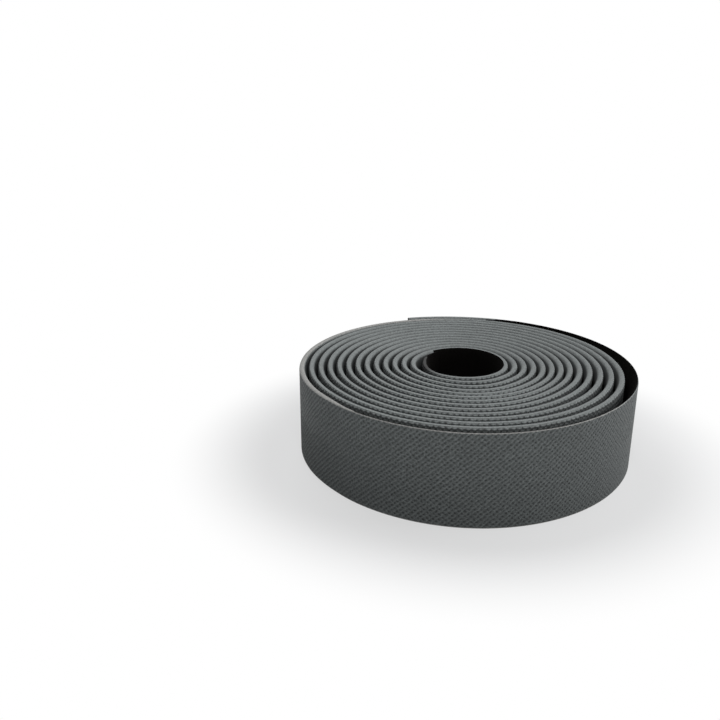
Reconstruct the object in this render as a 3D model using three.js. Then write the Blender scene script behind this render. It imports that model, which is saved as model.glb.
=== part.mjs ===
// A roll of handlebar tape.
//
// The tape is one long padded strip. Its outer face is flat, and its back is skived thin along
// both edges, so that neighbouring wraps lie flush on a bar. Here it is wound up into a flat coil
// that lies on the strip's edges. The skived edges leave a spiral groove between the turns at the
// top and the bottom of the coil, while the full thickness keeps the turns apart in between.
//
// Millimetres and degrees, +Z up. The origin is the middle of the roll's outline, on the surface
// that the roll lies on. Seen from above, the strip winds counter-clockwise from the inside out.

import * as THREE from 'three';

// The strip
const tapeWidth = 30;            // from edge to edge, so also the height of the roll
const tapeThickness = 2.9;       // along the middle of the strip
const skiveWidth = 5;            // how far in from each edge the back slopes
const tightEdgeThickness = 1.5;  // left at an edge, where the turns press it into a bead
const freeEdgeThickness = 0.6;   // the same where the last turn stands free
const cornerChamfer = 0.35;      // along both corners of the outer face

// The winding
const holeRadius = 10.9;         // from the axis to the back of the strip, at its inner end
const turnClearance = 0.26;      // between one turn's back and the face of the turn inside it
const fullTurns = 14;            // counted as if the outer end were in line with the inner one
const innerEndAngle = 120;       // of the strip's inner end, counter-clockwise from +X
const outerEndAngle = 105;       // of its outer end
const innerEndTaper = 60;        // over which the strip comes to its full thickness
const innerEndShare = 0.35;      // of the thickness that is left at the inner end itself

// Where the coil is slack
const bulge = 1.7;               // how far the outer turns stand out at the bulge
const bulgeAngle = -90;
const bulgeReach = 60;           // to where the bulge dies out, on either side
const bow = 1.2;                 // how far the last turn bows out beyond that
const bowBehindEnd = 100;        // from the outer end back to the middle of the bow
const bowReach = 90;             // to where the bow dies out, on either side

// Where turns stand out from the even spiral, or lie in from it, because the strip is soft. Turns
// are counted from the inner end, and the shift dies out over the blend before and after them.
const unevenTurns = [
  { out: 0.5, direction: 60, reach: 90, fromTurn: 0, toTurn: 12.7, blend: 0.25 },
  { out: 0.95, direction: 70, reach: 75, fromTurn: 0.9, toTurn: 0.9, blend: 3 },
  { out: -1.5, direction: -42, reach: 60, fromTurn: 8.4, toTurn: 8.4, blend: 4.6 },
  { out: 1.1, direction: -85, reach: 45, fromTurn: 3.4, toTurn: 3.4, blend: 3 },
  { out: -0.9, direction: 180, reach: 55, fromTurn: 0, toTurn: 0.4, blend: 0.4 },
];

// Where the last turn's edges are free, counted back from the outer end
const freeEdgeStart = 30;
const freeEdgeEnd = 250;
const freeEdgeBlend = 15;        // over which an edge goes from tight to free

// Facets
const stepsPerTurn = 48;

const turnPitch = tapeThickness + turnClearance;
const firstFaceRadius = holeRadius + tapeThickness;
const totalSweep = 360 * fullTurns + outerEndAngle - innerEndAngle;
const stepAngle = 360 / stepsPerTurn;

// A smooth hump of height 1 that falls to 0 at reach on either side of its middle.
function hump(distance, reach) {
  if (Math.abs(distance) >= reach) {
    return 0;
  }
  return Math.cos((distance / reach) * (Math.PI / 2)) ** 2;
}

// The difference between two directions, from -180 to 180 degrees.
function turnedFrom(angle, reference) {
  return THREE.MathUtils.euclideanModulo(angle - reference + 180, 360) - 180;
}

// How far the soft strip is shifted outwards by its uneven turns, at a sweep from the inner end.
function unevenShift(sweep) {
  const turn = sweep / 360;
  let shift = 0;
  for (const { out, direction, reach, fromTurn, toTurn, blend } of unevenTurns) {
    const started = THREE.MathUtils.smoothstep(turn, fromTurn - blend, fromTurn);
    const ended = THREE.MathUtils.smoothstep(turn, toTurn, toTurn + blend);
    shift += out * (started - ended) * hump(turnedFrom(innerEndAngle + sweep, direction), reach);
  }
  return shift;
}

// How far the strip's outer face is from the axis, at a sweep counted from the inner end.
function faceRadius(sweep) {
  const windingRadius = firstFaceRadius + turnPitch * (sweep / 360);
  const bulgeHere = bulge * (sweep / totalSweep) * hump(turnedFrom(innerEndAngle + sweep, bulgeAngle), bulgeReach);
  const bowHere = bow * hump(totalSweep - sweep - bowBehindEnd, bowReach);
  return windingRadius + bulgeHere + bowHere + unevenShift(sweep);
}

// The share of its thickness that the strip has, which is less only at its tapered inner end.
function endShare(sweep) {
  return THREE.MathUtils.lerp(innerEndShare, 1, THREE.MathUtils.smoothstep(sweep, 0, innerEndTaper));
}

// How thick the strip is along its middle. Where the turns lie close, the padding is pressed
// thinner, so that the clearance to the turn inside it stays.
function middleThickness(sweep) {
  if (sweep < 360) {
    return tapeThickness * endShare(sweep);
  }
  return Math.min(tapeThickness, faceRadius(sweep) - faceRadius(sweep - 360) - turnClearance);
}

// How thick the strip's edges are, at a sweep counted from the inner end.
function edgeThickness(sweep) {
  const behindEnd = totalSweep - sweep;
  const thinning = THREE.MathUtils.smoothstep(behindEnd, freeEdgeStart, freeEdgeStart + freeEdgeBlend);
  const thickening = THREE.MathUtils.smoothstep(behindEnd, freeEdgeEnd - freeEdgeBlend, freeEdgeEnd);
  return THREE.MathUtils.lerp(tightEdgeThickness, freeEdgeThickness, thinning - thickening) * endShare(sweep);
}

// The strip's outline across its width, as [depth below the outer face, height] pairs. It goes up
// the outer face, over the top edge, down the skived back and under the bottom edge.
function stripSection(edge, middle) {
  return [
    [0, cornerChamfer],
    [0, tapeWidth - cornerChamfer],
    [cornerChamfer, tapeWidth],
    [edge, tapeWidth],
    [middle, tapeWidth - skiveWidth],
    [middle, skiveWidth],
    [edge, 0],
    [cornerChamfer, 0],
  ];
}

// The sweeps at which the strip has a section. They fall on the same directions in every turn, so
// that the facets of neighbouring turns stay parallel.
function sectionSweeps() {
  const sweeps = [];
  for (let sweep = 0; sweep < totalSweep - stepAngle / 2; sweep += stepAngle) {
    sweeps.push(sweep);
  }
  sweeps.push(totalSweep);
  return sweeps;
}

// The strip as one closed skin: its sections joined side by side, with a cap on either end.
function woundStripGeometry() {
  const positions = [];
  const sweeps = sectionSweeps();
  for (const sweep of sweeps) {
    const direction = THREE.MathUtils.degToRad(innerEndAngle + sweep);
    for (const [depth, height] of stripSection(edgeThickness(sweep), middleThickness(sweep))) {
      const radius = faceRadius(sweep) - depth;
      positions.push(radius * Math.cos(direction), radius * Math.sin(direction), height);
    }
  }

  const indices = [];
  const plainSection = stripSection(tightEdgeThickness, tapeThickness);
  const corners = plainSection.length;
  for (let section = 0; section < sweeps.length - 1; section += 1) {
    for (let corner = 0; corner < corners; corner += 1) {
      const here = section * corners + corner;
      const above = section * corners + (corner + 1) % corners;
      indices.push(here, here + corners, above);
      indices.push(above, here + corners, above + corners);
    }
  }
  const outline = plainSection.map(([depth, height]) => new THREE.Vector2(depth, height));
  const lastSection = (sweeps.length - 1) * corners;
  for (const [a, b, c] of THREE.ShapeUtils.triangulateShape(outline, [])) {
    indices.push(a, c, b);
    indices.push(lastSection + a, lastSection + b, lastSection + c);
  }

  const geometry = new THREE.BufferGeometry();
  geometry.setAttribute('position', new THREE.Float32BufferAttribute(positions, 3));
  geometry.setIndex(indices);
  return geometry;
}

// Puts the middle of the geometry's outline, seen from above, over the origin.
function centreOutline(geometry) {
  geometry.computeBoundingBox();
  const middle = geometry.boundingBox.getCenter(new THREE.Vector3());
  geometry.translate(-middle.x, -middle.y, 0);
  geometry.computeVertexNormals();
  return geometry;
}

const paddedTape = new THREE.MeshStandardMaterial({
  color: 0x55595a,
  roughness: 0.72,
  metalness: 0,
  flatShading: true,
});

const tape = new THREE.Mesh(centreOutline(woundStripGeometry()), paddedTape);
tape.name = 'tape';

const tapeRoll = new THREE.Group();
tapeRoll.add(tape);

export default tapeRoll;
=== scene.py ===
# %% [markdown]
# # A roll of padded handlebar tape
# Handlebar tape is one long strip: a thin grained skin of soft plastic on a black foam back. The
# strip is sold wound up into a flat coil. This file dresses the imported solid of such a coil, and
# every number is in metres, in the imported model's own frame.
# The imported model comes first and stays a fixed reference.

# %% Load the imported model
import math

import bpy
import numpy as np
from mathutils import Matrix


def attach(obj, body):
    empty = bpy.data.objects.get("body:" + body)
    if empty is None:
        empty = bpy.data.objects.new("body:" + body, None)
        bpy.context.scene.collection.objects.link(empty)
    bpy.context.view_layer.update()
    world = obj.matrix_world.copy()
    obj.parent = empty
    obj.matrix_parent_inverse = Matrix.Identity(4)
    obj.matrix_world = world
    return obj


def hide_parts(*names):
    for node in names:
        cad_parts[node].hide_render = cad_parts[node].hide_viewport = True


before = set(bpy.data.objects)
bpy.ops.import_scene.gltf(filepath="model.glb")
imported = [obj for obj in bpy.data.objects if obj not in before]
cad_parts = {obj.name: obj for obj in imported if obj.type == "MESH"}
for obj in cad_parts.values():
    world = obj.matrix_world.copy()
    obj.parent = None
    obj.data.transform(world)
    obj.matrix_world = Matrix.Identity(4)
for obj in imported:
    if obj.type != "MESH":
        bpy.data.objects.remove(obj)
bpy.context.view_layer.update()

mm = 0.001

# %% [markdown]
# ## The camera
# The photograph looks down on the roll from in front and a little to its left. A camera could be
# aimed by eye, but the roll's own outlines tell more: its height is the strip's width, and its rims
# are nearly circles. Place, tilt and lens were fitted to them, so the camera needs no Track To.

# %% Camera
camera_place = (-36.12 * mm, -253.18 * mm, 119.77 * mm)
looks_down = 19.316
camera_lens = 39.12
film_width = 36
nearest_seen = 5 * mm

bpy.ops.object.select_all(action="DESELECT")
camera_turn = (math.radians(90 - looks_down), 0, 0)
bpy.ops.object.camera_add(location=camera_place, rotation=camera_turn)
camera = bpy.context.object
camera.name = "camera"
camera.data.lens = camera_lens
camera.data.sensor_width = film_width
camera.data.clip_start = nearest_seen
bpy.context.scene.camera = camera
print("camera at", [round(value, 4) for value in camera.location])

# %% [markdown]
# ## How the strip is wound
# Each turn lies on the one inside it, so the outer face follows a spiral whose pitch is the strip's
# thickness and a little air. The real coil is a bit slack: its outer turns stand out towards the
# front, the last turn bows away on the right, and inside the coil some turns lie closer than
# others. All of these are smooth humps on the spiral's radius, and the numbers are the packed
# solid's own. A perfect spiral would be simpler, but its gaps would be too even.

# %% Sizes of the coil
tape_width = 30 * mm
tape_thickness = 2.9 * mm
hole_radius = 10.9 * mm
turn_clearance = 0.26 * mm
full_turns = 14
inner_end_angle = 120
outer_end_angle = 105
bulge, bulge_angle, bulge_reach = 1.7 * mm, -90, 60
bow, bow_behind_end, bow_reach = 1.2 * mm, 100, 90

# How far out, in which direction, how far to either side, and from which turn to which, with how
# many turns for it to come and go.
uneven_turns = [
    (0.5 * mm, 60, 90, 0, 12.7, 0.25),
    (0.95 * mm, 70, 75, 0.9, 0.9, 3),
    (-1.5 * mm, -42, 60, 8.4, 8.4, 4.6),
    (1.1 * mm, -85, 45, 3.4, 3.4, 3),
    (-0.9 * mm, 180, 55, 0, 0.4, 0.4),
]
total_sweep = 360 * full_turns + outer_end_angle - inner_end_angle
print("the coil sweeps", total_sweep, "degrees")

# %% The spiral of the outer face


def hump(distance, reach):
    """A smooth hump of height 1 that falls to 0 at reach on either side."""
    inside = np.clip(np.abs(distance) / reach, 0, 1)
    return np.cos(inside * math.pi / 2) ** 2


def smooth_step(value, low, high):
    """0 below low, 1 above high and a smooth slope between them."""
    share = np.clip((value - low) / (high - low), 0, 1)
    return share * share * (3 - 2 * share)


def turned_from(sweep, direction):
    """How many degrees the place at a sweep is turned away from a direction."""
    return (inner_end_angle + sweep - direction + 180) % 360 - 180


def face_radius(sweep):
    """How far the outer face is from the coil's axis, at a sweep from the inner end."""
    radius = hole_radius + tape_thickness + (tape_thickness + turn_clearance) * sweep / 360
    radius = radius + bulge * sweep / total_sweep * hump(turned_from(sweep, bulge_angle), bulge_reach)
    radius = radius + bow * hump(total_sweep - sweep - bow_behind_end, bow_reach)
    for out, direction, reach, from_turn, to_turn, blend in uneven_turns:
        there = (smooth_step(sweep / 360, from_turn - blend, from_turn)
                 - smooth_step(sweep / 360, to_turn, to_turn + blend))
        radius = radius + out * there * hump(turned_from(sweep, direction), reach)
    return radius


print("the face starts", round(face_radius(0) / mm, 2), "mm and ends",
      round(face_radius(total_sweep) / mm, 2), "mm from the axis")

# %% [markdown]
# The strip is modelled flat, as it comes off the machine, and wound at the end. So its length has
# to be known first. It is measured along the spiral, over stretches far shorter than a millimetre.

# %% The length of the strip
spiral_samples = 40001
sweeps = np.linspace(0, total_sweep, spiral_samples)
directions = np.radians(inner_end_angle + sweeps)
spiral = np.stack([np.cos(directions), np.sin(directions)], axis=1) * face_radius(sweeps)[:, None]
spiral -= (spiral.max(axis=0) + spiral.min(axis=0)) / 2
steps = np.linalg.norm(np.diff(spiral, axis=0), axis=1)
unrolled = np.concatenate([[0], np.cumsum(steps)])
tape_length = float(unrolled[-1])


def length_at(sweep):
    """How far along the strip a sweep from the inner end is."""
    return float(np.interp(sweep, sweeps, unrolled))


print("tape length", round(tape_length, 4), "reach", spiral.min(axis=0), spiral.max(axis=0))

# %% [markdown]
# ## The guide that the strip is wound on
# A Curve modifier bends a straight piece along a curve object and keeps it the right way up when
# that curve is flat. The guide is a curve of straight stretches, each a little under half a
# millimetre, which is finer than a pixel, so that no corner shows. It is deleted once the strip is
# wound. A Bezier curve with a point every few degrees would be lighter, but it would drift off the
# packed spiral.

# %% Spiral guide
guide_step = 0.45 * mm
guide_count = round(tape_length / guide_step) + 1
along_guide = np.linspace(0, tape_length, guide_count)
guide_points = np.zeros((guide_count, 4))
guide_points[:, 0] = np.interp(along_guide, unrolled, spiral[:, 0])
guide_points[:, 1] = np.interp(along_guide, unrolled, spiral[:, 1])
guide_points[:, 3] = 1

guide_data = bpy.data.curves.new("spiral_guide", "CURVE")
guide_data.dimensions = "2D"
guide_line = guide_data.splines.new("POLY")
guide_line.points.add(guide_count - 1)
guide_line.points.foreach_set("co", guide_points.ravel())
guide = bpy.data.objects.new("spiral_guide", guide_data)
bpy.context.scene.collection.objects.link(guide)
print("guide points", guide_count)

# %% [markdown]
# ## The strip, flat
# The skin is pressed with a fine diamond grain: round pits in a staggered lattice, 18 of them side
# by side across the width, with ridges that cross between them. A grid with one point for each pit
# and one for each crossing is the coarsest mesh that holds this relief, and it has room for the
# whole strip. Both edges are alike, so only the upper half is modelled, and a Mirror modifier makes
# the other one. The grid stands upright: the outer face looks to -Y, the back will be on +Y, and
# the strip's middle line is at height 0 for now.

# %% Half of the outer face
pits_across = 18
grain_across = tape_width / pits_across
wanted_grain_along = 1.815 * mm
pits_along = round(tape_length / wanted_grain_along)
grain_along = tape_length / pits_along
columns = 2 * pits_along
rows = pits_across
column_step = grain_along / 2
row_step = grain_across / 2

bpy.ops.object.select_all(action="DESELECT")
bpy.ops.mesh.primitive_grid_add(
    x_subdivisions=columns, y_subdivisions=rows, size=1,
    location=(tape_length / 2, 0, tape_width / 4), rotation=(math.pi / 2, 0, 0))
padded_tape = bpy.context.object
padded_tape.name = "padded_tape"
padded_tape.data.name = "padded_tape"
padded_tape.scale = (tape_length, tape_width / 2, 1)
bpy.ops.object.transform_apply(location=True, rotation=True, scale=True)
looks_to = [round(value, 2) for value in padded_tape.data.polygons[0].normal]
print("grid", columns, "by", rows, "looks to", looks_to)

# %% [markdown]
# ## Mesh helpers
# From here on, points, edges and faces of the strip are chosen by their place. Short helpers read a
# value of all of them at once, and select or dissolve the chosen ones.

# %% Helpers for the mesh


def values_of(items, name, width=1, kind=float):
    """A value of all points, edges, faces or corners of a mesh, one row each if it is wide."""
    values = np.empty(len(items) * width, dtype=kind)
    items.foreach_get(name, values)
    return values.reshape(-1, width) if width > 1 else values


def points_of(mesh):
    """The places of a mesh's points."""
    return values_of(mesh.vertices, "co", 3)


def select_only(kind, chosen):
    """Go to edit mode with the chosen points or edges of the strip selected, and no others."""
    bpy.ops.object.mode_set(mode="EDIT")
    bpy.ops.mesh.select_mode(type=kind)
    bpy.ops.mesh.select_all(action="DESELECT")
    bpy.ops.object.mode_set(mode="OBJECT")
    items = padded_tape.data.vertices if kind == "VERT" else padded_tape.data.edges
    items.foreach_set("select", chosen)
    bpy.ops.object.mode_set(mode="EDIT")


def dissolve_edges(chosen):
    """Dissolve the chosen edges of the strip, with the points that only they held."""
    select_only("EDGE", chosen)
    bpy.ops.mesh.dissolve_edges(use_verts=True)
    bpy.ops.object.mode_set(mode="OBJECT")
    print("edges dissolved", int(chosen.sum()), "points left", len(padded_tape.data.vertices))


print("the whole grid has", len(padded_tape.data.vertices), "points")

# %% [markdown]
# Only the last turn shows its whole face. On the turns inside it only a few rows next to the edge
# can be seen between the coil's beads, so the lines of points below those are dissolved there,
# which saves most of the triangles.

# %% Drop the hidden rows of the inner turns
whole_face_sweep = 372
seen_rows = 2
last_turn_start = round(length_at(total_sweep - whole_face_sweep) / column_step) * column_step
first_seen_height = tape_width / 2 - seen_rows * row_step

mesh = padded_tape.data
places = points_of(mesh)
hidden = places[:, 0] < last_turn_start - column_step / 2
hidden &= places[:, 2] < first_seen_height - row_step / 2
hidden &= places[:, 2] > row_step / 2
ends = values_of(mesh.edges, "vertices", 2, int)
level = np.abs(places[ends[:, 0], 2] - places[ends[:, 1], 2]) < row_step / 4
dissolve_edges(level & hidden[ends].any(axis=1))

# %% [markdown]
# ## The rolled edge and the back
# Along its edge the skin is folded over the rim of the padding. Where the turns press on each other
# it makes a soft bead that rounds off down the inner side, and from there the foam back slopes out
# to the strip's full thickness. Where the last turn stands free, the rim is much thinner. So each
# point of the section has two depths below the outer face, tight and free, and a drop below the
# edge. The top row of the face is moved to where the edge starts to round off, and extruded from
# point to point of the tight section. The free depths come in a later step.

# %% Extrude the bead, the slope and the back
edge_section = [
    (0.03 * mm, 0.03 * mm, 0.56 * mm),
    (0.17 * mm, 0.10 * mm, 0.24 * mm),
    (0.45 * mm, 0.20 * mm, 0.04 * mm),
    (1.42 * mm, 0.44 * mm, 0.04 * mm),
    (1.70 * mm, 0.62 * mm, 0.34 * mm),
    (2.30 * mm, 1.20 * mm, 1.50 * mm),
    (tape_thickness, tape_thickness, 4.5 * mm),
    (tape_thickness, tape_thickness, tape_width / 2),
]

places = points_of(padded_tape.data)
select_only("VERT", places[:, 2] > tape_width / 2 - row_step / 4)
bpy.ops.transform.translate(value=(0, edge_section[0][0], -edge_section[0][2]))
for here, after in zip(edge_section, edge_section[1:]):
    bpy.ops.mesh.extrude_region_move(
        TRANSFORM_OT_translate={"value": (0, after[0] - here[0], here[2] - after[2])})
bpy.ops.object.mode_set(mode="OBJECT")
print("points with bead and back", len(padded_tape.data.vertices))

# %% [markdown]
# The grain has to follow the strip and not the room, so each point remembers where it lies on the
# flat strip: how far along, how deep below the face, and how far from the middle line. This named
# attribute stays with the points when the strip is wound, and the materials read it.

# %% Remember the flat strip
places = points_of(padded_tape.data)
flat_place = padded_tape.data.attributes.new("flat_place", "FLOAT_VECTOR", "POINT")
flat_place.data.foreach_set("vector", places.ravel().astype(np.float32))
print("flat places kept", len(flat_place.data))

# %% [markdown]
# ## The pressed grain
# A pit is a point whose column and row numbers add up to an odd number, as on a chessboard. On the
# face it is pressed straight in. Where the face rounds off into the bead the pits go on, so there
# they notch the bead, and that is what makes the turns look beaded from the front. A bump in the
# material alone would do on the face, but it couldn't give the bead its broken outline.

# %% Press the pits
pit_depth = 0.2 * mm
notch_depth = 0.3 * mm
corner_drop = 0.2
shoulder_share = 0.7

# How deep below the outer face each part of the edge ends.
face_ends = 0.01 * mm
corner_ends = 0.1 * mm
shoulder_ends = 0.3 * mm


def press(chosen, inwards, down):
    """Press the chosen points of the strip into its face, and down from its edge."""
    select_only("VERT", chosen)
    bpy.ops.transform.translate(value=(0, inwards, -down))
    bpy.ops.object.mode_set(mode="OBJECT")


column_numbers = np.rint(places[:, 0] / column_step).astype(int)
row_numbers = np.rint(places[:, 2] / row_step).astype(int)
pits = (places[:, 1] < face_ends) & ((column_numbers + row_numbers) % 2 == 1)
notched = (column_numbers % 2 == 1) & (places[:, 0] < last_turn_start)
on_corner = (places[:, 1] > face_ends) & (places[:, 1] < corner_ends)
on_shoulder = (places[:, 1] > corner_ends) & (places[:, 1] < shoulder_ends)

press(pits, pit_depth, 0)
press(on_corner & notched, notch_depth, notch_depth * corner_drop)
press(on_shoulder & notched, notch_depth * shoulder_share, notch_depth * shoulder_share)
print("pits pressed", int(pits.sum()))

# %% [markdown]
# ## Where the strip is thinner
# The strip is not equally thick all along. The last turn's rim is thin where it stands free, the
# padding is pressed thinner where the turns lie close, and the inner end is crushed to a taper. The
# free stretch is counted in degrees back from the outer end. It starts a few degrees nearer to that
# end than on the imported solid, because the dark gap behind the rim starts there in the photograph.

# %% How far each point goes towards the face
free_start, thinned_from, thinned_to, free_end = 22, 45, 235, 250
inner_end_taper, inner_end_share = 60, 0.35


def freedom_at(sweep):
    """1 where the edges of the last turn are free, 0 where they are tight."""
    behind_end = total_sweep - sweep
    thinning_out = smooth_step(behind_end, free_start, thinned_from)
    return thinning_out - smooth_step(behind_end, thinned_to, free_end)


places = points_of(padded_tape.data)
depth = places[:, 1]
sweep_there = np.interp(places[:, 0], unrolled, sweeps)
tight_depths = [point[0] for point in edge_section[:-1]]
free_depths = [point[1] for point in edge_section[:-1]]
wanted = depth + freedom_at(sweep_there) * (np.interp(depth, tight_depths, free_depths) - depth)

room_inside = face_radius(sweep_there) - face_radius(sweep_there - 360) - turn_clearance
room_inside = np.where(sweep_there < 360, tape_thickness, np.minimum(room_inside, tape_thickness))
end_share = inner_end_share + (1 - inner_end_share) * smooth_step(sweep_there, 0, inner_end_taper)
wanted = np.minimum(wanted, room_inside) * end_share
thinning = np.where(depth > corner_ends, depth - wanted, 0)
most_thinning = float(thinning.max())
print("the strip is thinned by up to", round(most_thinning / mm, 2), "mm")

# %% [markdown]
# A vertex group says how far each point has to go towards the face, as a share of the longest way,
# and one Displace modifier along Y moves them all. Moving the points in code would do too, but this
# can be repeated by hand, with weights that can be looked at.

# %% Thin the strip
least_thinning = 0.001 * mm
thin_group = padded_tape.vertex_groups.new(name="thinner")
for index in np.nonzero(thinning > least_thinning)[0]:
    thin_group.add([int(index)], float(thinning[index] / most_thinning), "REPLACE")

thinner = padded_tape.modifiers.new("thinner", "DISPLACE")
thinner.direction = "Y"
thinner.mid_level = 0
thinner.strength = -most_thinning
thinner.vertex_group = thin_group.name
bpy.ops.object.modifier_apply(modifier=thinner.name)
padded_tape.vertex_groups.clear()
print("points moved", int((thinning > least_thinning).sum()))

# %% [markdown]
# ## The whole strip
# The Mirror modifier adds the lower half and merges it to the upper one along the middle line. It
# copies the kept flat places as they are, so the lower half would believe that it lies above the
# middle line. The sign of that height is put back from the mesh itself.

# %% Mirror the upper half
mirror = padded_tape.modifiers.new("lower_half", "MIRROR")
mirror.use_axis = (False, False, True)
mirror.use_clip = False
mirror.merge_threshold = 0.02 * mm
bpy.ops.object.modifier_apply(modifier=mirror.name)

mesh = padded_tape.data
places = points_of(mesh)
flat_place = mesh.attributes["flat_place"]
kept_places = values_of(flat_place.data, "vector", 3, np.float32)
kept_places[:, 2] = np.copysign(kept_places[:, 2], places[:, 2])
flat_place.data.foreach_set("vector", kept_places.ravel())
print("whole strip", len(mesh.vertices), "points")

# %% [markdown]
# The middle line is needed only on the face of the last turn, which holds pits, so it is dissolved
# everywhere else. Then the two cut ends are closed, and the strip is lifted onto its lower edge.

# %% Dissolve the middle line, close the ends and lift
near_middle = 0.05 * mm
back_starts = 2 * mm

ends = values_of(mesh.edges, "vertices", 2, int)
runs_along = np.abs(places[ends[:, 0], 0] - places[ends[:, 1], 0]) > column_step / 4
at_middle = (np.abs(places[ends, 2]) < near_middle).all(axis=1)
on_inner_turn = (places[ends, 0] < last_turn_start + column_step / 2).all(axis=1)
on_back = (places[ends, 1] > back_starts).all(axis=1)
dissolve_edges(at_middle & (on_inner_turn | on_back) & runs_along)

for end_place in (0, tape_length):
    places = points_of(padded_tape.data)
    select_only("VERT", np.abs(places[:, 0] - end_place) < column_step / 4)
    bpy.ops.mesh.edge_face_add()
    bpy.ops.object.mode_set(mode="OBJECT")
select_only("VERT", np.ones(len(padded_tape.data.vertices), dtype=bool))
bpy.ops.transform.translate(value=(0, 0, tape_width / 2))
bpy.ops.mesh.normals_make_consistent(inside=False)
bpy.ops.object.mode_set(mode="OBJECT")
print("flat strip", len(padded_tape.data.vertices), "points,", len(padded_tape.data.polygons), "faces")

# %% [markdown]
# ## Two finishes, face by face
# The strip has two materials: the grained skin, and the black foam of the back. They are given out
# by faces while the strip is flat, because a face's kept depth tells which of the two it belongs
# to. Between the turns the skin reaches down the whole slope, almost to where they touch. Where the
# last turn gets free its reach shrinks to the thin rim, and in the hole it ends just behind the
# bead. The cut ends are foam. The first few millimetres of the strip, deep in the hole, are given
# the black foam too, face and all, as painted shade. A pattern in one material could do the same,
# but the border would be less sharp.

# %% Skin slot and foam slot
skin_reach = 2.75 * mm
reach_lost_when_free = 1.85 * mm
skin_reach_in_hole = 1.45 * mm
innermost_sweep = 362
end_shade_as_foam = 7 * mm
faces_along = 0.9

tape_skin = bpy.data.materials.new("tape_skin")
tape_foam = bpy.data.materials.new("tape_foam")
padded_tape.data.materials.clear()
padded_tape.data.materials.append(tape_skin)
padded_tape.data.materials.append(tape_foam)

mesh = padded_tape.data
centres = values_of(mesh.polygons, "center", 3)
normals = values_of(mesh.polygons, "normal", 3)
corner_points = values_of(mesh.loops, "vertex_index", kind=int)
first_corners = values_of(mesh.polygons, "loop_start", kind=int)
corner_counts = values_of(mesh.polygons, "loop_total", kind=int)
kept_depths = values_of(mesh.attributes["flat_place"].data, "vector", 3)[:, 1]
face_depth = np.add.reduceat(kept_depths[corner_points], first_corners) / corner_counts

face_sweep = np.interp(centres[:, 0], unrolled, sweeps)
skin_ends = skin_reach - reach_lost_when_free * freedom_at(face_sweep)
skin_ends = np.where(face_sweep < innermost_sweep, skin_reach_in_hole, skin_ends)
is_foam = face_depth > skin_ends
is_foam |= np.abs(normals[:, 0]) > faces_along
# Painted shade: the first millimetres of the strip, deep in the hole, get the black foam.
is_foam |= centres[:, 0] < end_shade_as_foam
mesh.polygons.foreach_set("material_index", is_foam.astype(np.int32))
print("skin faces", int((~is_foam).sum()), "foam faces", int(is_foam.sum()))

# %% [markdown]
# ## Winding it up
# The Curve modifier lays the strip's X along the guide. What lay on +Y comes to lie towards the
# coil's centre, because the guide runs counter-clockwise. Smooth shading stops at the sharp corners
# of the cut ends.

# %% Wind the strip
sharp_angle = 60
wind = padded_tape.modifiers.new("wind", "CURVE")
wind.object = guide
wind.deform_axis = "POS_X"
bpy.ops.object.modifier_apply(modifier=wind.name)
bpy.data.objects.remove(guide)
bpy.ops.object.shade_smooth_by_angle(angle=math.radians(sharp_angle))
triangles = sum(len(face.vertices) - 2 for face in padded_tape.data.polygons)
places = points_of(padded_tape.data)
print("wound:", triangles, "triangles, from", places.min(axis=0), "to", places.max(axis=0))

# %% [markdown]
# ## Node helpers
# Materials are built from a few kinds of nodes again and again, so short helpers add a node, set its
# plain inputs and join it to others. An input can be a number, a colour or another node's output.

# %% Helpers for nodes


def add_node(tree, kind, settings=None, **inputs):
    """Add a node, set its properties, and set or link its inputs by name."""
    node = tree.nodes.new(kind)
    for name, value in (settings or {}).items():
        setattr(node, name, value)
    for name, value in inputs.items():
        key = int(name[1:]) if name[1:].isdigit() else name.replace("_", " ")
        socket = node.inputs[key]
        if isinstance(value, bpy.types.NodeSocket):
            tree.links.new(value, socket)
        else:
            socket.default_value = value
    return node


def calculate(tree, operation, first, second=0.0, third=0.0):
    """One Math node."""
    node = add_node(tree, "ShaderNodeMath", {"operation": operation}, i0=first, i1=second, i2=third)
    return node.outputs[0]


def product(tree, first, second):
    """One value times another, so a mask that is 1 only where both are."""
    return calculate(tree, "MULTIPLY", first, second)


def larger(tree, first, second):
    """The larger of two values, so a mask that is 1 where one of them is."""
    return calculate(tree, "MAXIMUM", first, second)


def rest_of(tree, share):
    """What a share leaves of 1, so a mask turned round."""
    return calculate(tree, "SUBTRACT", 1.0, share)


def ramp(tree, value, low, high, start=0.0, end=1.0):
    """A smooth ramp of a value, from start at low to end at high."""
    node = add_node(tree, "ShaderNodeMapRange", {"interpolation_type": "SMOOTHSTEP"},
                    Value=value, From_Min=low, From_Max=high, To_Min=start, To_Max=end)
    return node.outputs["Result"]


def blend_colours(tree, share, first, second):
    """A colour between two others."""
    node = add_node(tree, "ShaderNodeMix", {"data_type": "RGBA"}, i0=share, i6=first, i7=second)
    return node.outputs[2]


def new_group(name, inputs, outputs):
    """An empty node group with named number sockets."""
    group = bpy.data.node_groups.new(name, "ShaderNodeTree")
    for socket_name, default in inputs.items():
        socket = group.interface.new_socket(
            name=socket_name, in_out="INPUT", socket_type="NodeSocketFloat")
        socket.default_value = default
    for socket_name in outputs:
        group.interface.new_socket(
            name=socket_name, in_out="OUTPUT", socket_type="NodeSocketFloat")
    return group, group.nodes.new("NodeGroupInput"), group.nodes.new("NodeGroupOutput")


print("node helpers ready")

# %% [markdown]
# ## The grain as a pattern
# The mesh holds one point for each pit and crossing, which is right for the shape and too coarse for
# soft shading. The same lattice is therefore written once more as two slanted waves on the kept flat
# place: where both are low there is a pit. The wave of the rising ridges is the stronger one, as on
# the real strip, and a power makes the pits narrower than the ridges. A little noise shifts the
# lattice and makes some pits deeper than others. A painted picture of the grain would be blurred on
# three metres of tape.

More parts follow.
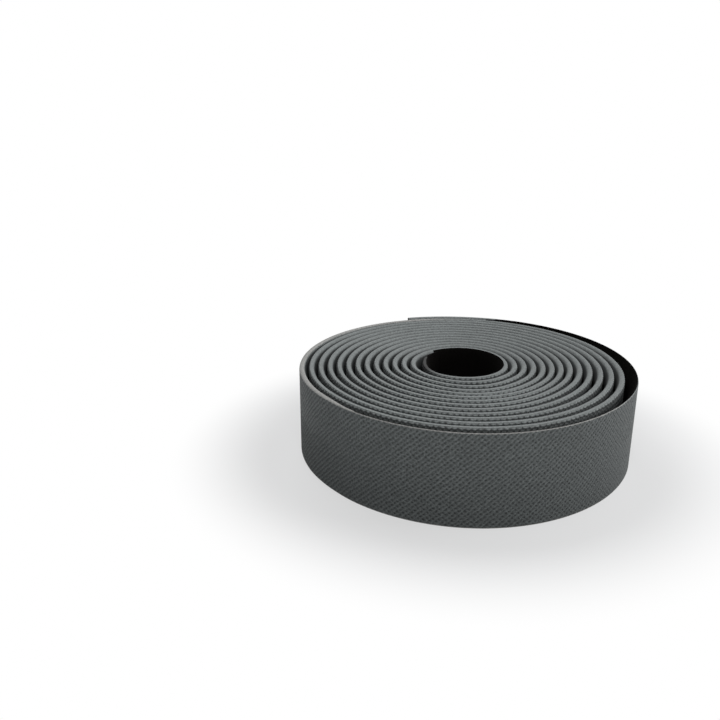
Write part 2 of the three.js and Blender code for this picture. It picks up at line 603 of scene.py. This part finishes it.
# %% Grain group: the lattice of pits
grain_group, grain_in, grain_out = new_group(
    "diamond_grain", {"Pit Sharpness": 2.0},
    ["Height", "Pits", "Ridges", "Bead Sheen", "Top", "Groove Shade", "Rim Highlight", "Valley Shade", "Inner End Shade"])
rising_share, falling_share = 0.30, 0.20
wobble_scale = 650.0
wobble_reach = (0.9 * mm, 0.0, 0.9 * mm)
pit_noise = (0.35, 0.65)
pit_strengths = (0.7, 1.2)

kept = add_node(grain_group, "ShaderNodeAttribute", {"attribute_name": "flat_place"})
flat_axes = add_node(grain_group, "ShaderNodeSeparateXYZ", Vector=kept.outputs["Vector"])
wobble = add_node(grain_group, "ShaderNodeTexNoise",
                  Vector=kept.outputs["Vector"], Scale=wobble_scale, Detail=1.0)
wobbled = add_node(grain_group, "ShaderNodeVectorMath", {"operation": "MULTIPLY_ADD"},
                   i0=wobble.outputs["Color"], i1=wobble_reach, i2=kept.outputs["Vector"])
lattice = add_node(grain_group, "ShaderNodeSeparateXYZ", Vector=wobbled.outputs[0])
turns_along = product(grain_group, lattice.outputs["X"], 2 * math.pi / grain_along)
turns_across = product(grain_group, lattice.outputs["Z"], 2 * math.pi / grain_across)
rising = calculate(grain_group, "COSINE", calculate(grain_group, "SUBTRACT", turns_along, turns_across))
falling = calculate(grain_group, "COSINE", calculate(grain_group, "ADD", turns_along, turns_across))

hollow = calculate(grain_group, "MULTIPLY_ADD", rising, -rising_share, rising_share + falling_share)
hollow = calculate(grain_group, "MULTIPLY_ADD", falling, -falling_share, hollow)
hollow = larger(grain_group, hollow, 0.0)
hollow = calculate(grain_group, "POWER", hollow, grain_in.outputs["Pit Sharpness"])
pit_strength = ramp(grain_group, wobble.outputs[0], *pit_noise, *pit_strengths)
hollow = product(grain_group, hollow, pit_strength)
print("grain repeats every", round(grain_along / mm, 3), "by", round(grain_across / mm, 3), "mm")

# %% [markdown]
# Next to its edge the strip looks different from place to place. On the inner turns the face bends
# over a shoulder into the bead, and the shoulder is painted lighter as a highlight. Below the
# shoulder runs a groove, whose upper border is scalloped by the pits; it is painted darker as shade
# between the turns, and holds a dark notch at each pit, a pressed notch whose darkness is painted
# shade. On the last turn the corner of the rim is sharp instead. Each place is a mask, made from
# the distance to the middle line and the depth below the face.

# %% Grain group: places along the edge
over_edge_starts, over_edge_whole = 0.08 * mm, 0.5 * mm
turn_blend = 15 * mm
scallop_depth = 0.18 * mm

# Between which two distances below the edge each place comes in or goes out.
rim_band = (0.45 * mm, 0.25 * mm)
shoulder_band = (1.0 * mm, 0.5 * mm)
groove_band = (0.75 * mm, 0.42 * mm)
notch_foot_band = (1.3 * mm, 0.9 * mm)


def towards_edge(value, band, start=0.0, end=1.0):
    """A ramp of a height above the middle line, between two distances below the edge."""
    far, near = band
    return ramp(grain_group, value, tape_width / 2 - far, tape_width / 2 - near, start, end)


over_edge = ramp(grain_group, flat_axes.outputs["Y"], over_edge_starts, over_edge_whole)
from_middle = calculate(grain_group, "ABSOLUTE", flat_axes.outputs["Z"])
on_last_turn = ramp(grain_group, flat_axes.outputs["X"],
                    last_turn_start - turn_blend, last_turn_start + turn_blend)
on_inner_turns = rest_of(grain_group, on_last_turn)
on_rim = product(grain_group, towards_edge(from_middle, rim_band), on_last_turn)
shoulder = product(grain_group, towards_edge(from_middle, shoulder_band), on_inner_turns)
# The bead mask carries a painted highlight: shoulder, top and rim are lighter in the skin's colour.
on_bead = larger(grain_group, over_edge, larger(grain_group, shoulder, on_rim))
on_face = rest_of(grain_group, larger(grain_group, over_edge, on_rim))

wave = calculate(grain_group, "COSINE", turns_along)
wave = calculate(grain_group, "MULTIPLY_ADD", wave, -0.5, 0.5)
scalloped = calculate(grain_group, "MULTIPLY_ADD", wave, -scallop_depth, from_middle)
# The groove mask darkens the face below the bead as painted shade between the turns.
groove = towards_edge(scalloped, groove_band, 1.0, 0.0)
groove = product(grain_group, groove, on_inner_turns)
notch_foot = towards_edge(from_middle, notch_foot_band)
# The notch mask darkens each pressed notch as painted shade.
notch = product(grain_group, wave, product(grain_group, groove, notch_foot))
print("edge masks ready, scalloped by", round(scallop_depth / mm, 2), "mm")

# %% [markdown]
# The group puts out the relief's height and one mask for each place that gets a shade of its own in
# the skin's colour. Three are left to make. The free rim is a painted highlight, a light line in
# front that dies out to the right. The valley is the deep part of the slope between two turns, and
# its darkness is painted shade. The inner end lies so deep in the hole that it is painted black, as
# shade.

# %% Grain group: what it puts out
groove_deepens_and_shades = 0.9
ridge_sharpness = 3.0
rim_highlight_fades, rim_highlight_ends = 160, 130
valley_shade_band = (1.0 * mm, 0.38 * mm)
valley_shade_starts, valley_shade_whole = 1.3 * mm, 1.5 * mm
# Painted shade: the first centimetres of the strip, deep in the hole, turn black.
end_shade_full, end_shade_gone = 18 * mm, 34 * mm

# In the groove the pits are made deeper and darker; the darkness is painted shade.
groove_deepening_and_shade = calculate(grain_group, "MULTIPLY_ADD", groove, groove_deepens_and_shades, 1.0)
pits_deepened_and_shaded = calculate(grain_group, "MINIMUM", product(grain_group, hollow, groove_deepening_and_shade), 1.0)
# This mask sets the pits' relief and darkens them, partly their own tone and partly painted shade.
pits_for_relief_and_shade = product(grain_group, larger(grain_group, pits_deepened_and_shaded, notch), on_face)
ridges = calculate(grain_group, "POWER", larger(grain_group, rising, 0.0), ridge_sharpness)
# Painted highlight: a light line along the free rim, fading out to the right.
painted_rim_highlight = ramp(grain_group, flat_axes.outputs["X"], length_at(total_sweep - rim_highlight_fades),
                 length_at(total_sweep - rim_highlight_ends), 1.0, 0.0)
# Painted shade on the deep part of the slope between two turns.
valley_shade = towards_edge(from_middle, valley_shade_band, 1.0, 0.0)
valley_shade_depth = ramp(grain_group, flat_axes.outputs["Y"], valley_shade_starts, valley_shade_whole)

put_out = {
    "Height": rest_of(grain_group, pits_for_relief_and_shade),
    "Pits": pits_for_relief_and_shade,
    "Ridges": product(grain_group, ridges, rest_of(grain_group, on_bead)),
    "Bead Sheen": on_bead,
    "Top": over_edge,
    "Groove Shade": product(grain_group, groove, on_face),
    "Rim Highlight": product(grain_group, on_rim, painted_rim_highlight),
    "Valley Shade": product(grain_group, valley_shade, valley_shade_depth),
    "Inner End Shade": ramp(grain_group, flat_axes.outputs["X"], end_shade_full, end_shade_gone, 1.0, 0.0),
}
for socket_name, value in put_out.items():
    grain_group.links.new(value, grain_out.inputs[socket_name])
print("grain group puts out", list(put_out))

# %% [markdown]
# ## Mottling
# Neither skin nor foam is one even colour. Soft clouds of a few millimetres and a fine speckle come
# from two noise textures on Object coordinates, in one group that both materials use, each with its
# own sizes.

# %% Mottling group
mottle_group, mottle_in, mottle_out = new_group(
    "mottling", {"Cloud Scale": 60.0, "Speckle Scale": 1500.0}, ["Clouds", "Speckle"])
room = add_node(mottle_group, "ShaderNodeTexCoord")
clouds = add_node(mottle_group, "ShaderNodeTexNoise", Vector=room.outputs["Object"],
                  Scale=mottle_in.outputs["Cloud Scale"], Detail=3.0, Roughness=0.55)
speckle = add_node(mottle_group, "ShaderNodeTexNoise", Vector=room.outputs["Object"],
                   Scale=mottle_in.outputs["Speckle Scale"], Detail=2.0, Roughness=0.6)
mottle_group.links.new(clouds.outputs[0], mottle_out.inputs["Clouds"])
mottle_group.links.new(speckle.outputs[0], mottle_out.inputs["Speckle"])
print("mottling group ready")

# %% [markdown]
# ## Skin
# The skin is mid grey polyurethane, soft and almost without gloss. Its shades are laid over each
# other, from the base to the pits: the ridges are a touch lighter; the bead's top, its shoulder and
# the free rim are lighter still, a painted highlight and sheen where the light falls on the edge; the
# groove, the valley and the inner end are darker, as painted shade between the turns and in the
# hole; and the pits are darker, partly the grain's own tone and partly painted shade. Clouds and
# speckle then vary the whole by a few percent. Relief: the grain and a fine speckle, joined in one
# Bump node whose distance is in metres like everything else.

# %% Tape skin material
skin_grey = (0.088, 0.096, 0.096, 1)
skin_shades = [
    ("Ridges", (0.118, 0.129, 0.129, 1)),
    # Painted highlight: the bead's shoulder, lighter where the light falls on it.
    ("Bead Sheen", (0.230, 0.248, 0.248, 1)),
    # Painted sheen on the bead's top and the slope over the edge.
    ("Top", (0.150, 0.163, 0.163, 1)),
    # Painted shade in the groove below the bead.
    ("Groove Shade", (0.080, 0.087, 0.087, 1)),
    # Painted highlight: the light line along the free rim.
    ("Rim Highlight", (0.250, 0.250, 0.243, 1)),
    # Painted shade deep between the turns.
    ("Valley Shade", (0.032, 0.035, 0.035, 1)),
    # Painted shade: the inner end in the hole, almost black.
    ("Inner End Shade", (0.006, 0.006, 0.006, 1)),
]
# The pits' colour: partly the grain's own darker tone, partly painted shade.
skin_pit_tone_and_shade = (0.014, 0.015, 0.016, 1)
pit_tone_and_shade_share = 0.62
noise_spread = (0.3, 0.7)
cloud_shades = (0.93, 1.07)
speckle_shades = (0.76, 1.24)
skin_roughness = (0.58, 0.68)
grain_relief = 0.24 * mm
speckle_relief = 0.06

tape_skin.use_nodes = True
tree = tape_skin.node_tree
tree.nodes.clear()
grain = add_node(tree, "ShaderNodeGroup", {"node_tree": grain_group}, Pit_Sharpness=3.0)
mottle = add_node(tree, "ShaderNodeGroup", {"node_tree": mottle_group},
                  Cloud_Scale=45.0, Speckle_Scale=1700.0)
skin_colour = skin_grey
for place, shade in skin_shades:
    skin_colour = blend_colours(tree, grain.outputs[place], skin_colour, shade)
pit_tone_and_shade = product(tree, grain.outputs["Pits"], pit_tone_and_shade_share)
skin_colour = blend_colours(tree, pit_tone_and_shade, skin_colour, skin_pit_tone_and_shade)

clouding = ramp(tree, mottle.outputs["Clouds"], *noise_spread, *cloud_shades)
speckling = ramp(tree, mottle.outputs["Speckle"], *noise_spread, *speckle_shades)
skin_colour = add_node(tree, "ShaderNodeMix", {"data_type": "RGBA", "blend_type": "MULTIPLY"},
                       i0=1.0, i6=skin_colour, i7=product(tree, clouding, speckling)).outputs[2]
roughness = ramp(tree, mottle.outputs["Clouds"], *noise_spread, *skin_roughness)
relief = calculate(tree, "MULTIPLY_ADD", mottle.outputs["Speckle"], speckle_relief,
                   grain.outputs["Height"])
skin_bump = add_node(tree, "ShaderNodeBump", Strength=1.0, Distance=grain_relief, Height=relief)
skin_surface = add_node(tree, "ShaderNodeBsdfPrincipled", Base_Color=skin_colour,
                        Roughness=roughness, Specular_IOR_Level=0.2,
                        Normal=skin_bump.outputs["Normal"])
add_node(tree, "ShaderNodeOutputMaterial", Surface=skin_surface.outputs["BSDF"])
print("skin nodes", len(tree.nodes))

# %% [markdown]
# ## Foam
# The back is black foam with fine closed cells and no shine. A Voronoi texture gives cells with
# rounded walls, small enough that they read as a matte cut surface.

# %% Tape foam material
foam_black = (0.0012, 0.0011, 0.0010, 1)
foam_cell_wall = (0.0028, 0.0025, 0.0022, 1)
foam_cell_size = 0.35 * mm
cell_wall_spread = (0.25, 0.6)
foam_roughness = (0.86, 0.96)
foam_relief_depth = 0.06 * mm
foam_speckle_relief = 0.3

tape_foam.use_nodes = True
tree = tape_foam.node_tree
tree.nodes.clear()
mottle = add_node(tree, "ShaderNodeGroup", {"node_tree": mottle_group},
                  Cloud_Scale=80.0, Speckle_Scale=3000.0)
room = add_node(tree, "ShaderNodeTexCoord")
cells = add_node(tree, "ShaderNodeTexVoronoi", Vector=room.outputs["Object"], Scale=1 / foam_cell_size)
cell_wall = ramp(tree, cells.outputs["Distance"], *cell_wall_spread)
foam_colour = blend_colours(tree, cell_wall, foam_black, foam_cell_wall)
roughness = ramp(tree, mottle.outputs["Clouds"], *noise_spread, *foam_roughness)
relief = calculate(tree, "MULTIPLY_ADD", mottle.outputs["Speckle"], foam_speckle_relief, cell_wall)
foam_bump = add_node(tree, "ShaderNodeBump", Strength=0.8, Distance=foam_relief_depth, Height=relief)
foam_surface = add_node(tree, "ShaderNodeBsdfPrincipled", Base_Color=foam_colour,
                        Roughness=roughness, Specular_IOR_Level=0.02,
                        Normal=foam_bump.outputs["Normal"])
add_node(tree, "ShaderNodeOutputMaterial", Surface=foam_surface.outputs["BSDF"])
print("foam nodes", len(tree.nodes))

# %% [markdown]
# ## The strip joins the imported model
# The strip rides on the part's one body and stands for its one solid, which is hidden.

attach(padded_tape, "root")
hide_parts("tape")
print("declared", padded_tape.name)

# %% [markdown]
# ## Floor
# The roll lies on a plain white floor that runs out into white. For the camera and in reflections,
# the floor is matte grey mixed with plain white. Near the roll the white takes a little over half,
# so that the soft shadow shows, and at about 10 cm from the axis it takes all, so that no horizon
# shows. The light that the floor throws back on the roll is set apart from that: very little from
# close by, where the roll shades it, and more from further out, so that the wall gets darker
# towards the floor as in the photograph. A floor that is white by its own colour would be simpler,
# but it would throw far too much light up on the roll.

# %% Floor
floor_size = 6
floor_drop = 0.02 * mm

bpy.ops.object.select_all(action="DESELECT")
bpy.ops.mesh.primitive_plane_add(size=floor_size, location=(0, 0, -floor_drop))
floor = bpy.context.object
floor.name = "floor"
bpy.ops.object.transform_apply(location=True, rotation=True, scale=True)
print("floor", floor_size, "metres wide")

# %% White floor material
white_grows, all_white, white_near = 66 * mm, 103 * mm, 0.55
shade_ends, open_floor = 70 * mm, 110 * mm
matte_grey = (0.485, 0.49, 0.50, 1)
shaded_grey = (0.02, 0.02, 0.02, 1)
open_grey = (0.80, 0.80, 0.80, 1)
white = (1, 1, 1, 1)


def seen_directly(tree):
    """1 for what the camera sees, also in a reflection or through glass, and 0 for other light."""
    light_path = add_node(tree, "ShaderNodeLightPath")
    seen = larger(tree, light_path.outputs["Is Camera Ray"], light_path.outputs["Is Glossy Ray"])
    return larger(tree, seen, light_path.outputs["Is Transmission Ray"])


def mix_shaders(tree, share, first, second):
    """A mix of two shader nodes."""
    return add_node(tree, "ShaderNodeMixShader", i0=share, i1=first.outputs[0], i2=second.outputs[0])


white_floor = bpy.data.materials.new("white_floor")
white_floor.use_nodes = True
tree = white_floor.node_tree
tree.nodes.clear()
room = add_node(tree, "ShaderNodeTexCoord")
from_axis = add_node(tree, "ShaderNodeVectorMath", {"operation": "LENGTH"}, i0=room.outputs["Object"])
whitened = ramp(tree, from_axis.outputs["Value"], white_grows, all_white, white_near, 1.0)
opened = ramp(tree, from_axis.outputs["Value"], shade_ends, open_floor)
matte_floor = add_node(tree, "ShaderNodeBsdfDiffuse", Color=matte_grey)
plain_white = add_node(tree, "ShaderNodeEmission", Color=white, Strength=1.0)
shaded_floor = add_node(tree, "ShaderNodeBsdfDiffuse", Color=shaded_grey)
bright_floor = add_node(tree, "ShaderNodeBsdfDiffuse", Color=open_grey)
seen_floor = mix_shaders(tree, whitened, matte_floor, plain_white)
unseen_floor = mix_shaders(tree, opened, shaded_floor, bright_floor)
floor_mix = mix_shaders(tree, seen_directly(tree), unseen_floor, seen_floor)
add_node(tree, "ShaderNodeOutputMaterial", Surface=floor_mix.outputs[0])
floor.data.materials.append(white_floor)
print("floor nodes", len(tree.nodes))

# %% [markdown]
# ## Light
# The photograph has soft studio light. Two large soft lamps above and behind the roll draw the
# light lines on the beads, a third on the right lifts that end of the wall, and a fourth in front,
# a little to the left, lights the wall. A faint even surround fills the shadows, and the camera
# sees it as plain white. A bright surround alone would be simpler, but the beads would look flat.

# %% World and lamps
surround = 0.03

world = bpy.data.worlds.new("white_surround")
bpy.context.scene.world = world
world.use_nodes = True
tree = world.node_tree
tree.nodes.clear()
ambient = add_node(tree, "ShaderNodeBackground", Color=white, Strength=surround)
seen_white = add_node(tree, "ShaderNodeBackground", Color=white, Strength=1.0)
world_mix = mix_shaders(tree, seen_directly(tree), ambient, seen_white)
add_node(tree, "ShaderNodeOutputWorld", Surface=world_mix.outputs[0])


def soft_lamp(name, place, size, power):
    """A square area lamp that looks at the roll."""
    bpy.ops.object.select_all(action="DESELECT")
    bpy.ops.object.light_add(type="AREA", location=place)
    lamp = bpy.context.object
    lamp.name = name
    lamp.data.shape = "SQUARE"
    lamp.data.size = size
    lamp.data.energy = power
    tilt = math.atan2(math.hypot(place[0], place[1]), place[2])
    lamp.rotation_euler = (tilt, 0, math.atan2(place[1], place[0]) + math.pi / 2)


soft_lamp("lamp_back_left", place=(-0.20, 0.45, 0.75), size=0.50, power=3.7)
soft_lamp("lamp_back_right", place=(0.45, 0.40, 0.60), size=0.50, power=2.3)
soft_lamp("lamp_right", place=(0.70, 0.00, 0.30), size=0.40, power=3.0)
soft_lamp("lamp_front", place=(-0.08, -0.67, 0.50), size=0.50, power=3.7)

scene = bpy.context.scene
scene.view_settings.view_transform = "Standard"
